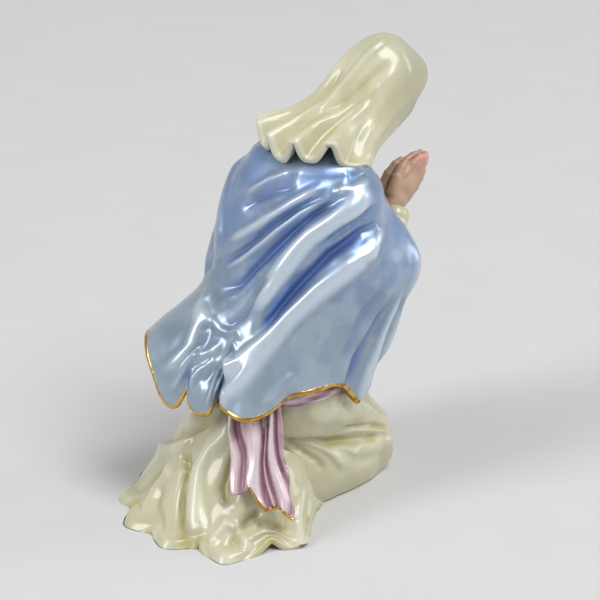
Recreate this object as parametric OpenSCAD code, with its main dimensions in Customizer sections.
// Kneeling madonna figurine in glazed porcelain: separately cast and luted pieces,
// with gilded hems. Millimetres, +Z up. She faces -Y and her right hand is on -X.

/* [Figure] */
// Height from the table to the top of the veil, which scales everything
figure_height = 190; // [150:5:230]
// Forward lean of the trunk, as the shoulders' travel in front of the hips
lean = 27; // [20:1:32]
// Forward tilt of the bowed head, in degrees
head_tilt = 38; // [30:1:46]

/* [Porcelain] */
// Wall of the cast shells
wall = 3; // [2:0.25:4]
// Thickness of the mantle, the veil and the train where they hang free
drape = 2.6; // [1.6:0.2:3.2]
// Radius of the firing vent in the underside
vent_r = 3; // [2:0.5:5]

/* [Mantle] */
// Height of the lowest part of the mantle's hem
mantle_hem = 47; // [42:1:56]
// How far the hem is lifted at the wind-blown corner behind her left side
hem_lift = 22; // [10:1:28]
// Depth of the flutes along the hem
flute = 3; // [0:0.5:4]

/* [Veil] */
// Depth of the scallops along the veil's hem
scallop = 3.5; // [1:0.5:5]

/* [Gilding] */
// Radius of the gilded bead along the hems
gilt_r = 0.7; // [0.5:0.1:1]

/* [Hidden] */

design_height = 186;
k = figure_height / design_height;
// Centre of the figure's footprint, moved to the origin
footprint = [-4.3, -11.8, 0];

// Points round the skirt and round the sash
round_n = 52;
ring_sides = 8;

glaze_ivory = [0.93, 0.91, 0.78];
glaze_blue = [0.45, 0.57, 0.78];
glaze_rose = [0.72, 0.52, 0.62];
bisque_flesh = [0.80, 0.62, 0.50];
gold = [0.80, 0.58, 0.22];
hair_brown = [0.36, 0.24, 0.15];

// ---- Curves -------------------------------------------------------------------

function clamp01(t) = min(max(t, 0), 1);
function smooth(t) = let (c = clamp01(t)) c * c * (3 - 2 * c);
function mix(a, b, t) = a + (b - a) * t;
function bell(d, w) = exp(-pow(d / w, 2));

// Cubic curve through rows of [place, value], where a value is a number or a vector
function row_at(rows, x, i = 0) =
    i >= len(rows) - 2 || x < rows[i + 1][0] ? i : row_at(rows, x, i + 1);
function row_slope(rows, i) =
    let (a = max(i - 1, 0), b = min(i + 1, len(rows) - 1))
    (rows[b][1] - rows[a][1]) / (rows[b][0] - rows[a][0]);
function curve(rows, x) =
    let (
        i = row_at(rows, x),
        h = rows[i + 1][0] - rows[i][0],
        t = clamp01((x - rows[i][0]) / h),
        p = rows[i][1], q = rows[i + 1][1],
        m = row_slope(rows, i) * h, n = row_slope(rows, i + 1) * h
    )
    p * (1 + t * t * (2 * t - 3)) + q * t * t * (3 - 2 * t)
    + m * t * (1 - t) * (1 - t) - n * t * t * (1 - t);

// Direction on the ground, turned from straight behind her towards her right
function heading(a) = [-sin(a), cos(a), 0];

// Sum of soft folds at a place on a sheet. A fold is [path of places, height, width]
function part_gap(p, a, b) = let (d = b - a) norm(p - a - clamp01((p - a) * d / (d * d)) * d);
function path_gap(p, path) = min([for (i = [0 : len(path) - 2]) part_gap(p, path[i], path[i + 1])]);
function fold_sum(p, folds) =
    [for (f = folds) f[1] * bell(path_gap(p, f[0]), f[2])] * [for (f = folds) 1];

// Sum of swells along a hem at a heading. A swell is [heading, outward move, rise, width]
function swell_sum(a, swells) =
    [for (w = swells) bell(a - w[0], w[3])] * [for (w = swells) [w[1], w[2]]];

// ---- Solids from grids of points ----------------------------------------------

function flat_list(rows) = [for (r = rows) for (p = r) p];

// Stack of closed rings, capped flat at both ends
module loft(rings) {
    n = len(rings[0]);
    m = len(rings);
    walls = [
        for (j = [0 : m - 2]) for (i = [0 : n - 1]) let (o = (i + 1) % n)
        each [
            [j * n + i, j * n + o, (j + 1) * n + o],
            [j * n + i, (j + 1) * n + o, (j + 1) * n + i]
        ]
    ];
    caps = [
        [for (i = [n - 1 : -1 : 0]) i],
        [for (i = [0 : n - 1]) (m - 1) * n + i]
    ];
    polyhedron(flat_list(rings), concat(walls, caps));
}

// Hollow shell between an outer and an inner stack of closed rings, open at both ends
module tube_shell(outer, inner) {
    n = len(outer[0]);
    m = len(outer);
    s = n * m;
    outside = [
        for (j = [0 : m - 2]) for (i = [0 : n - 1]) let (o = (i + 1) % n)
        each [
            [j * n + i, j * n + o, (j + 1) * n + o],
            [j * n + i, (j + 1) * n + o, (j + 1) * n + i]
        ]
    ];
    inside = [for (f = outside) [s + f[0], s + f[2], s + f[1]]];
    rims = [
        for (i = [0 : n - 1]) let (o = (i + 1) % n, e = (m - 1) * n)
        each [
            [i, s + o, o], [i, s + i, s + o],
            [e + i, e + o, s + e + o], [e + i, s + e + o, s + e + i]
        ]
    ];
    polyhedron(concat(flat_list(outer), flat_list(inner)), concat(outside, inside, rims));
}

// Sheet of clay between an outer and an inner grid, closed along its four edges
module clay_sheet(outer, inner) {
    n = len(outer[0]);
    m = len(outer);
    s = n * m;
    outside = [
        for (j = [0 : m - 2]) for (i = [0 : n - 2])
        each [
            [j * n + i, j * n + i + 1, (j + 1) * n + i + 1],
            [j * n + i, (j + 1) * n + i + 1, (j + 1) * n + i]
        ]
    ];
    inside = [for (f = outside) [s + f[0], s + f[2], s + f[1]]];
    edge = concat(
        [for (i = [0 : n - 2]) [i, i + 1]],
        [for (j = [0 : m - 2]) [j * n + n - 1, (j + 1) * n + n - 1]],
        [for (i = [n - 1 : -1 : 1]) [(m - 1) * n + i, (m - 1) * n + i - 1]],
        [for (j = [m - 1 : -1 : 1]) [j * n, (j - 1) * n]]
    );
    rim = [for (e = edge) each [[e[0], s + e[0], s + e[1]], [e[0], s + e[1], e[1]]]];
    polyhedron(concat(flat_list(outer), flat_list(inner)), concat(outside, inside, rim));
}

// Round bead along a list of points
function bead_ring(path, i, r, sides) =
    let (
        a = path[max(i - 1, 0)], b = path[min(i + 1, len(path) - 1)],
        t = (b - a) / norm(b - a),
        side = cross(t, [0, 0, 1]),
        u = side / max(norm(side), 0.001),
        v = cross(u, t)
    )
    [for (s = [0 : sides - 1]) path[i] + r * (u * cos(360 * s / sides) + v * sin(360 * s / sides))];
module bead(path, r, sides = 6) {
    loft([for (i = [len(path) - 1 : -1 : 0]) bead_ring(path, i, r, sides)]);
}

// ---- Trunk --------------------------------------------------------------------

// How far the trunk's axis lies behind the origin at each height
spine_rows = [
    [0, -4], [45, -3], [60, -5], [80, -5 - lean * 0.13], [104, -5 - lean * 0.38],
    [124, -5 - lean * 0.62], [141, -5 - lean * 0.83], [150, -5 - lean * 1.05]
];
function spine(z) = curve(spine_rows, z);

// [height, [half width, depth in front, depth behind]]
bodice_rows = [
    [57, [21, 17.2, 13.2]], [62, [19.6, 15.6, 12.2]], [70, [18, 13.8, 11.5]], [80, [18.5, 14, 12]],
    [98, [20.5, 18, 14]], [112, [22.5, 17, 15]], [126, [25.5, 14, 14]], [135, [24, 12, 13]],
    [142, [17, 10.5, 11]], [147, [9, 8.5, 8.5]]
];
bodice_levels = [147, 144.5, 142, 138.5, 135, 130, 126, 119, 112, 105, 98, 89, 80, 74, 68, 62, 57];
function bodice_ring(z, inset) =
    let (s = curve(bodice_rows, z))
    [
        for (i = [0 : 35]) let (a = 10 * i, d = cos(a) < 0 ? s[1] : s[2])
        [-(s[0] - inset) * sin(a), spine(z) + (d - inset) * cos(a), z]
    ];
module bodice() {
    color(glaze_ivory)
        tube_shell(
            [for (z = bodice_levels) bodice_ring(z, 0)],
            [for (z = bodice_levels) bodice_ring(z, wall)]
        );
}

// ---- Skirt over the folded legs -----------------------------------------------

// [height, [half width, foremost point, rearmost point]]
skirt_rows = [
    [0, [27, -57, 22]], [5, [28.5, -61, 23]], [12, [29, -62.5, 23]], [20, [28, -60, 22]],
    [27, [26, -54, 20]], [35, [28, -46, 20]], [45, [28, -36, 18]], [52, [25.5, -28, 14]],
    [56.5, [21, -22, 9]]
];
skirt_levels = [56.5, 54, 51, 47, 42, 37, 32, 28.5, 25.5, 22, 17, 12, 8, 4, 1.5, 0];
function skirt_point(a, z, inset) =
    let (
        s = curve(skirt_rows, z),
        mid = (s[1] + s[2]) / 2, half = (s[2] - s[1]) / 2,
        knees = 2.5 * bell(a - 180, 14) * smooth((34 - z) / 20),
        pull = 0.8 * cos(6 * a) * smooth((50 - z) / 30),
        w = s[0] + pull - inset, d = half + pull - knees - inset,
        e = 0.82
    )
    [
        -w * sign(sin(a)) * pow(abs(sin(a)), e),
        mid + d * sign(cos(a)) * pow(abs(cos(a)), e),
        z
    ];
function skirt_ring(z, inset) =
    [for (i = [0 : round_n - 1]) skirt_point(360 * i / round_n, z, inset)];
module skirt() {
    color(glaze_ivory)
        tube_shell(
            [for (z = skirt_levels) skirt_ring(z, 0)],
            [for (z = skirt_levels) skirt_ring(z, wall)]
        );
}

// Floor of the casting, with the vent that lets the kiln's gases out
plate_gap = 0.2;
plate_t = 3;
module base_plate() {
    color(glaze_ivory)
        difference() {
            linear_extrude(plate_t)
                polygon([for (p = skirt_ring(0, wall + plate_gap)) [p[0], p[1]]]);
            translate([0, -18, -1])
                cylinder(r = vent_r / k, h = plate_t + 2, $fn = 48);
        }
}

// ---- Train on the ground behind her -------------------------------------------

train_start = -100;
train_end = 100;
// [heading, reach of the hem on the ground]
train_reach = [
    [-100, 34.5], [-80, 40], [-58, 51], [-25, 63], [4, 68], [22, 67], [38, 67], [62, 57.5],
    [72, 46.5], [84, 36], [100, 34]
];
// [heading, distance of the upper edge, which lies on the skirt]
train_hug = [[-100, 31], [-60, 30.5], [-30, 28], [0, 27], [30, 28], [60, 30.5], [100, 31]];
// [heading, height of the upper edge]
train_top = [
    [-100, 12], [-80, 24], [-60, 35], [-48, 44], [-40, 46], [42, 46], [52, 40], [60, 32.5],
    [70, 28.5], [80, 24.5], [100, 14]
];
// Folds that run over the train, with paths of [heading, share from the waist to the hem]
train_folds = [
    [[[-11, 0.29], [-1, 0.38], [3, 0.5], [10, 0.68], [16, 0.83], [21, 1.1]], -2, 3],
    [[[26, 0.02], [21, 0.1], [11, 0.22], [9, 0.34], [13, 0.5], [20, 0.69], [25, 0.9]], 2, 4],
    [[[-46, 0.46], [-30, 0.38], [-17, 0.29], [-6, 0.2]], 1.8, 3.4],
    [[[76, 0.26], [70, 0.42], [65, 0.62], [63, 0.84], [64, 1.1]], 1.8, 3.4],
    [[[-34, 0.36], [-38, 0.6], [-42, 0.9]], 2, 3.8],
    [[[-56, 0.28], [-62, 0.55], [-66, 0.9]], 1.8, 3.6]
];
// Where its hem swings out and lifts
train_swells = [
    [-76, 2, 0, 6], [-66, -2, 2, 5], [-53, 2.5, 0, 6], [-42, -3.2, 3, 5], [-30, 3, 0, 6],
    [-19, -3, 2.4, 5], [-8, 3.4, 0, 5], [3, -2.6, 2, 4.4], [13, 2.8, 0, 5], [23, -4, 3.2, 4.4],
    [36, 4.6, 0, 5], [51, -5, 4.6, 6], [66, 3.2, 0, 5], [76, -1, 1, 5]
];
train_across = 0.85;
train_down = 46;
train_centre = [0, -3, 0];
function on_train(path) = [for (q = path) [q[0] * train_across, q[1] * train_down]];
train_fold_paths = [for (f = train_folds) [on_train(f[0]), f[1], f[2]]];
function train_point(a, v, inset) =
    let (
        near_hem = pow(smooth((v - 0.55) / 0.45), 1.3),
        swell = swell_sum(a, train_swells) * near_hem,
        fold = fold_sum([a * train_across, v * train_down], train_fold_paths) * smooth(v / 0.2),
        out = mix(curve(train_hug, a), curve(train_reach, a) - inset, pow(v, 0.9)) + swell[0],
        rise = curve(train_top, a) * pow(1 - v, 1.7) + 2.2 * (1 - v) * v,
        drop = inset * smooth((1 - v) * 4)
    )
    train_centre + heading(a) * (out + fold * 0.4)
    + [0, 0, max(rise + (fold * 0.8) * (1 - v) + swell[1] - drop, 0)];
function train_grid(inset) = [
    for (j = [0 : 10]) [
        for (i = [0 : 46]) train_point(mix(train_start, train_end, i / 46), j / 10, inset)
    ]
];
module train() {
    color(glaze_ivory)
        clay_sheet(train_grid(0), train_grid(drape));
}

// ---- Sash ---------------------------------------------------------------------

// The band lies round the top of the skirt, a little lower in front where it crosses the lap
sash_half = 5.4;
sash_deep = 1.1;
function sash_ring(a) =
    let (middle = 52.2 + 0.75 * cos(a))
    [
        for (s = [0 : ring_sides - 1])
        let (b = 360 * s / ring_sides, z = middle + sash_half * sin(b), off = sash_deep * (1.1 + cos(b)))
        skirt_point(a, z, -off)
    ];
module hip_sash() {
    rings = [for (i = [0 : 47]) sash_ring(-7.5 * i)];
    n = ring_sides;
    color(glaze_rose)
        polyhedron(
            flat_list(rings),
            [
                for (j = [0 : 47]) for (i = [0 : n - 1]) let (o = (i + 1) % n, q = (j + 1) % 48)
                each [[j * n + i, j * n + o, q * n + o], [j * n + i, q * n + o, q * n + i]]
            ]
        );
}

// [length share, [heading, distance from the train's centre, height, half width]]
tail_rows = [
    [0, [42, 31.5, 51, 9]], [0.25, [43.2, 38, 39, 11.2]], [0.5, [44.5, 43.5, 29, 11.6]],
    [0.75, [46.3, 49, 20.5, 11.5]], [1, [48.6, 54, 13.5, 11]]
];
// [share across, length], for the slanting lower edge
tail_edge = [
    [-1, 0.84], [-0.65, 0.82], [-0.36, 0.74], [-0.14, 0.9], [0.05, 0.99], [0.3, 0.95], [0.6, 1],
    [0.85, 1.07], [1, 1.12]
];
// [share across, height, width as a share]
tail_pleats = [[-0.6, -1.2, 0.16], [-0.14, 1.3, 0.2], [0.28, -1.4, 0.16], [0.63, 1.2, 0.16]];
function tail_point(u, v, lift) =
    let (
        slant = v * curve(tail_edge, u),
        s = curve(tail_rows, min(slant, 1)),
        beyond = max(slant - 1, 0),
        pleats = [for (p = tail_pleats) p[1] * bell(u - p[0], p[2])] * [for (p = tail_pleats) 1],
        high = lift + pleats
    )
    train_centre + heading(s[0]) * (s[1] + 16 * beyond + high * 0.5)
    + [0, 0, s[2] - 26 * beyond + high * 0.85]
    + s[3] * u * [-cos(s[0]), -sin(s[0]), 0];
tail_columns = 16;
function tail_grid(lift) = [
    for (j = [0 : 10]) [for (i = [0 : tail_columns]) tail_point(2 * i / tail_columns - 1, j / 10, lift)]
];
module sash_tail() {
    color(glaze_rose)
        clay_sheet(tail_grid(5), tail_grid(3.2));
}
module sash_tail_gilt() {
    color(gold)
        bead(
            [for (i = [5 : tail_columns]) tail_point(2 * i / tail_columns - 1, 1, 4.1) + [0, 0, -0.8]],
            gilt_r
        );
}

// ---- Mantle -------------------------------------------------------------------

mantle_edge = 152;
// Outer radius from the spine, [heading, radius], at each height
mantle_rows = [
    [44, [
        [-152, 42], [-95, 41], [-44, 60], [-22, 50], [0, 40.5], [38, 43.5], [60, 38], [95, 34.5],
        [128, 36], [152, 41]
    ]],
    [58, [
        [-152, 47], [-95, 39], [-42, 57], [-22, 49], [0, 39.5], [38, 40], [60, 37.5], [95, 34.5],
        [128, 40], [152, 47.5]
    ]],
    [70, [
        [-152, 51], [-95, 37.5], [-40, 51.5], [0, 35], [38, 36], [60, 35.5], [95, 35], [128, 43],
        [152, 51.5]
    ]],
    [84, [
        [-152, 54], [-95, 37], [-40, 35.6], [0, 29.5], [38, 31], [60, 32.5], [95, 36], [128, 45],
        [152, 54.5]
    ]],
    [95, [
        [-152, 56], [-95, 38], [-40, 32], [0, 27], [38, 28.5], [60, 31], [95, 37], [128, 46.5],
        [152, 57]
    ]],
    [108, [
        [-152, 48], [-95, 37], [-40, 32], [0, 26], [38, 27.5], [60, 30], [95, 35.5], [128, 40],
        [152, 48.5]
    ]],
    [120, [
        [-152, 36], [-95, 35], [-40, 32], [0, 25.5], [38, 27], [60, 29.5], [95, 34.5], [128, 35],
        [152, 37]
    ]],
    [133, [
        [-152, 27], [-95, 33], [-40, 30.6], [0, 24.5], [38, 26], [60, 28.5], [95, 33], [128, 30],
        [152, 27]
    ]],
    [141, [
        [-152, 18], [-95, 26.5], [-40, 27], [0, 22.5], [38, 24], [60, 25.5], [95, 26.5], [128, 22],
        [152, 18]
    ]]
];
hem_rows = [
    [-152, mantle_hem - 1], [-120, mantle_hem + 10], [-75, mantle_hem + 16],
    [-40, mantle_hem + hem_lift - 0.5], [-24, mantle_hem + hem_lift / 2], [-13, mantle_hem - 1],
    [8, mantle_hem], [24, mantle_hem + 5], [38, mantle_hem + 4], [52, mantle_hem + 6],
    [62, mantle_hem + 9.3], [72, mantle_hem + 10.5], [103, mantle_hem + 9], [128, mantle_hem - 2],
    [152, mantle_hem - 2]
];
// Folds of the cloth, with paths of [heading, height]
mantle_folds = [
    [[[100, 133], [90, 132], [73, 127], [57, 120], [47, 111], [38, 101], [31, 93]], 2.8, 6.5],
    [[[119, 117], [113, 115], [87, 109], [69, 100], [52, 89], [39, 79], [26, 71]], 2.2, 6.5],
    [[[150, 110], [147, 102], [143, 92], [142, 80], [140, 66]], 1.6, 4],
    [[[136, 92], [131, 83], [126, 73], [123, 61], [124, 44]], 2, 4],
    [[[-32, 92], [-27, 85], [-15, 78], [-10, 68], [-18, 57]], 2.2, 3.4],
    [[[-44, 88], [-40, 78], [-38, 66]], 1.6, 4],
    [[[-92, 132], [-76, 120], [-62, 104], [-52, 88]], 1.8, 5],
    [[[-112, 120], [-100, 104], [-86, 88], [-76, 74]], 2, 6]
];
// Swells along the hem, with two deep notches at the wind-blown corner
hem_swells = [
    [-136, -2.5, 2, 6], [-122, 3, 0, 9], [-107, -3, 3, 6], [-92, 3, 0, 8], [-77, -3.5, 3, 6],
    [-62, 1.5, 0, 8], [-44, 1.2, -1, 7], [-6.5, -2, 6, 3], [-5, 0, 3.5, 5.5], [5, 1, 0.6, 4],
    [17, -4.5, 6, 3.2], [19, 0, 3, 4.5], [36, 2.5, 0, 12], [62, -2, 0.5, 8], [84, 1, 0, 9],
    [114, -1.5, 2, 6], [124, 2.5, -2.5, 5]
];
fold_across = 0.6;
function on_mantle(path) = [for (q = path) [q[0] * fold_across, q[1]]];
mantle_fold_paths = [for (f = mantle_folds) [on_mantle(f[0]), f[1], f[2]]];
shoulder_z = 141;
collar_rise = 8;
collar_r = 11;
shoulder_share = 0.14;
function mantle_radius(a, z) = curve([for (r = mantle_rows) [r[0], curve(r[1], a)]], z);
function mantle_point(a, v, inset) =
    let (
        t = clamp01(v / shoulder_share) * 90,
        w = clamp01((v - shoulder_share) / (1 - shoulder_share)),
        wall_z = mix(shoulder_z, curve(hem_rows, a), w),
        z = wall_z + collar_rise * cos(t),
        fold = fold_sum([a * fold_across, z], mantle_fold_paths)
            * smooth(v / 0.15) * smooth((mantle_edge - abs(a)) / 8),
        swell = swell_sum(a, hem_swells) * (flute / 3) * pow(smooth((w - 0.5) / 0.5), 1.5),
        full = mantle_radius(a, min(wall_z, shoulder_z)) + fold + swell[0] - inset * sin(max(t, 8)),
        r = mix(collar_r, full, sin(t)),
        s = [0, spine(z), 0]
    )
    s + heading(a) * r + [0, 0, z + swell[1] - inset * cos(t)];
// Headings of the mantle's columns, closer together at the wind-blown corner
mantle_headings = [
    for (i = [0 : 15]) -mantle_edge + 117 * i / 16,
    for (i = [0 : 23]) -35 + 75 * i / 24,
    for (i = [0 : 19]) 40 + 112 * i / 19
];
mantle_steps = [
    0, 0.05, 0.095, 0.14, 0.2, 0.27, 0.34, 0.41, 0.48, 0.55, 0.62, 0.69, 0.76, 0.83, 0.89, 0.95, 1
];
function mantle_grid(inset) = [
    for (v = mantle_steps) [for (a = mantle_headings) mantle_point(a, v, inset)]
];
module mantle() {
    color(glaze_blue)
        clay_sheet(mantle_grid(0), mantle_grid(drape));
}
module mantle_gilt() {
    color(gold)
        bead(
            [for (a = mantle_headings) mantle_point(a, 1, drape / 2) - [0, 0, gilt_r + 0.1]],
            gilt_r
        );
}

// ---- Arms ---------------------------------------------------------------------

shoulder = [-24, -27, 131];
elbow = [-23, -46, 86];
wrist = [-7, -66.5, 110.5];
// [length share, [centre, radius]] from inside the shoulder round the elbow to the cuff
sleeve_rows = [
    [0, [shoulder, 6.5]], [0.22, [mix(shoulder, elbow, 0.35) + [-1, 1, 0], 7.2]],
    [0.42, [mix(shoulder, elbow, 0.72) + [-1, 1, 0], 7]], [0.6, [elbow + [-0.5, 1, 1.5], 7]],
    [0.7, [mix(elbow, wrist, 0.2) + [0, -2, -1.5], 7]], [0.85, [mix(elbow, wrist, 0.6), 6.2]],
    [1, [wrist, 5]]
];
function sleeve_centre(v) = curve([for (r = sleeve_rows) [r[0], r[1][0]]], v);
function sleeve_r(v) = curve([for (r = sleeve_rows) [r[0], r[1][1]]], v);
function sleeve_ring(v) =
    let (
        d = sleeve_centre(min(v + 0.03, 1)) - sleeve_centre(max(v - 0.03, 0)),
        t = d / norm(d), u = [1, 0, 0] - t * t[0], x = u / norm(u), y = cross(t, x)
    )
    [
        for (i = [0 : 15])
        sleeve_centre(v) + sleeve_r(v) * (x * cos(22.5 * i) + y * sin(22.5 * i))
    ];
module right_sleeve() {
    color(glaze_ivory)
        loft([for (i = [14 : -1 : 0]) sleeve_ring(i / 14)]);
}
module left_sleeve() {
    color(glaze_ivory)
        loft([for (i = [0 : 14]) [for (p = sleeve_ring(i / 14)) [-p[0], p[1], p[2]]]]);
}

// ---- Hands --------------------------------------------------------------------

// The hand's own frame: +Z to the fingertips, +Y to the thumb, palm on x = 0
hand_slope = 50;
hand_root = [0, -68.5, 112];
palm_gap = 0.15;
finger_r = 1.75;
// [y, z of the knuckle, z of the fingertip]
fingers = [[-4.5, 12, 22.5], [-1.5, 13.5, 26], [1.6, 13.5, 27], [4.6, 12.5, 25]];
module limb(a, b, ra, rb, sides = 14) {
    hull() {
        translate(a) sphere(ra, $fn = sides);
        translate(b) sphere(rb, $fn = sides);
    }
}
module hand_shape() {
    intersection() {
        union() {
            for (f = fingers) {
                limb([-2, f[0], f[1] - 5], [-1.8, f[0] * 0.8, (f[1] + f[2]) / 2], 2.2, finger_r);
                limb([-1.8, f[0] * 0.8, (f[1] + f[2]) / 2], [-1.3, f[0] * 0.6, f[2] - 1.3], finger_r, 1.3);
            }
            limb([-3, -2.4, 6], [-3, 3, 7], 3, 3.2);
            limb([-5, 0, -3], [-3, 0, 6], 3.5, 3.7);
            limb([-2.8, 4.8, 3.5], [-2.2, 7.6, 11.5], 2.4, 1.9);
            limb([-2.2, 7.6, 11.5], [-1.8, 7.4, 17], 1.9, 1.4);
        }
        translate([-20 - palm_gap, -20, -7]) cube([20, 40, 45]);
    }
}
module as_one_mesh() {
    resize([0, 0, 0]) children();
}
module right_hand() {
    color(bisque_flesh)
        translate(hand_root) rotate([hand_slope, 0, 0]) as_one_mesh() hand_shape();
}
module left_hand() {
    color(bisque_flesh)
        mirror([1, 0, 0]) translate(hand_root) rotate([hand_slope, 0, 0]) as_one_mesh() hand_shape();
}

// ---- Head ---------------------------------------------------------------------

head_centre = [0, -35 - lean, 167];
neck_base = [0, -5 - lean * 1.02, 146];
module head() {
    color(bisque_flesh)
        as_one_mesh() {
            translate(head_centre) rotate([head_tilt, 0, 0])
                union() {
                    hull() {
                        translate([0, 0.4, 2.6]) scale([12.2, 13.2, 12.8]) sphere(1, $fn = 32);
                        translate([0, -4.2, -3.5]) scale([10.4, 10.4, 11.8]) sphere(1, $fn = 28);
                        translate([0, -8.8, -14.4]) sphere(3.2, $fn = 20);
                    }
                    limb([0, -13.4, 2.4], [0, -15.6, -4.6], 1.1, 1.6, 10);
                }
            limb(neck_base, head_centre + [0, 6, -7], 6.6, 6.6, 24);
        }
}

hair_t = 1.2;
function hair_point(a, b, grow) =
    let (r = [12.2 + grow, 13.3 + grow, 12.9 + grow])
    [r[0] * sin(a) * sin(b), 0.4 + r[1] * cos(a) * sin(b), 2.6 + r[2] * cos(b)];
// [turn from the brow, how far the hair comes down from the crown], parted in the middle
hair_part = [[0, 57], [12, 62], [30, 74], [50, 94], [75, 112], [110, 122], [180, 128]];
function hair_grid(grow) = [
    for (j = [0 : 10]) [
        for (i = [0 : 30]) let (a = mix(-180, 180, i / 30), top = 14)
        hair_point(180 - a, mix(top, curve(hair_part, abs(a)), j / 10), grow)
    ]
];
module hair() {
    color(hair_brown)
        translate(head_centre) rotate([head_tilt, 0, 0])
            tube_shell(
                [for (r = hair_grid(hair_t)) [for (i = [29 : -1 : 0]) r[i]]],
                [for (r = hair_grid(0.1)) [for (i = [29 : -1 : 0]) r[i]]]
            );
}

// ---- Veil ---------------------------------------------------------------------

// Arcs from one front edge over the head to the other, from the brow to the hem:
// [length share, [centre y, centre z, pitch of the arc's crown, half width, rise, drop, reach]]
hood = head_centre;
veil_rows = [
    [0, [hood[1] - 11.5, hood[2] - 7.5, head_tilt + 92, 13.2, 15.6, 17, 122]],
    [0.05, [hood[1] - 10, hood[2] - 6.5, head_tilt + 92, 14.4, 16.7, 18, 122]],
    [0.16, [hood[1] - 5, hood[2] - 3, head_tilt + 82, 15.5, 18.4, 18, 124]],
    [0.28, [hood[1] - 1, hood[2] - 1, head_tilt + 64, 16.5, 20.2, 18, 124]],
    [0.4, [hood[1] + 2, hood[2] - 3, head_tilt + 42, 16.8, 20.5, 17, 122]],
    [0.52, [hood[1] + 5.5, hood[2] - 7.5, head_tilt + 20, 16.5, 20, 16, 118]],
    [0.66, [hood[1] + 13, hood[2] - 13, head_tilt + 2, 17.5, 19, 15, 112]],
    [0.84, [hood[1] + 24.5, hood[2] - 18, head_tilt - 16, 22.5, 21.5, 15, 106]],
    [1, [hood[1] + 31, hood[2] - 21, head_tilt - 26, 28, 26, 17, 104]]
];
veil_steps = [0, 0.05, 0.1, 0.16, 0.22, 0.28, 0.34, 0.4, 0.46, 0.53, 0.61, 0.7, 0.79, 0.87, 0.94, 1];
// [share across, wave], where the hem goes out and up at 1, and in and down at -1
veil_waves = [
    [-1, -0.9], [-0.85, 0], [-0.7, -1], [-0.55, 1], [-0.42, -1], [-0.32, 1], [-0.2, -0.9],
    [-0.07, 0.9], [0.06, -1], [0.19, 1], [0.34, -1], [0.48, 1.05], [0.66, -0.85], [0.84, -0.45],
    [1, -1]
];
veil_rise = [
    [-1, 0], [-0.4, 2.2], [0.06, -1.3], [0.2, 0.2], [0.34, 1.6], [0.48, 2.6], [0.7, 1.2], [1, 0]
];
// [length share, how far the front edges are drawn forward]
veil_front = [[0, 2.6], [0.2, 3.4], [0.5, 4], [0.8, 3], [1, 2]];
function veil_base(u, v, grow, up) =
    let (
        s = curve(veil_rows, v),
        a = u * s[6],
        depth = cos(a) > 0 ? s[4] : s[5],
        back = max(depth + grow, 0.2) * cos(a),
        side = -max(s[3] + grow, 0.2) * sin(a)
    )
    [side, s[0] + back * cos(s[2]) - up * sin(s[2]), s[1] + back * sin(s[2]) + up * cos(s[2])];
function veil_point(u, v, inset) =
    let (
        wave = curve(veil_waves, u),
        reach = pow(smooth((v - 0.58) / 0.42), 1.6),
        grow = scallop * 0.43 * wave * reach - inset,
        up = (scallop * wave * (1.5 - 0.5 * wave * wave) + curve(veil_rise, u)) * reach,
        end = u < 0 ? -1 : 1,
        spread = veil_base(end, 0.36 + 0.64 * v, grow, up) - veil_base(end, v, grow, up),
        forward = curve(veil_front, v) * smooth((abs(u) - 0.55) / 0.45)
    )
    veil_base(u, v, grow, up) + spread * smooth((abs(u) - 0.5) / 0.5) - [0, forward, 0];
function veil_grid(inset) = [
    for (v = veil_steps) [for (i = [-28 : 28]) veil_point(i / 28, v, inset)]
];
module veil() {
    color(glaze_ivory)
        clay_sheet(veil_grid(0), veil_grid(drape - 0.4));
}

// ---- Assembly -----------------------------------------------------------------

module placed() {
    scale(k) translate(-footprint) children();
}

placed() skirt();
placed() train();
placed() base_plate();
placed() bodice();
placed() hip_sash();
placed() sash_tail();
placed() sash_tail_gilt();
placed() mantle();
placed() mantle_gilt();
placed() right_sleeve();
placed() left_sleeve();
placed() right_hand();
placed() left_hand();
placed() head();
placed() hair();
placed() veil();
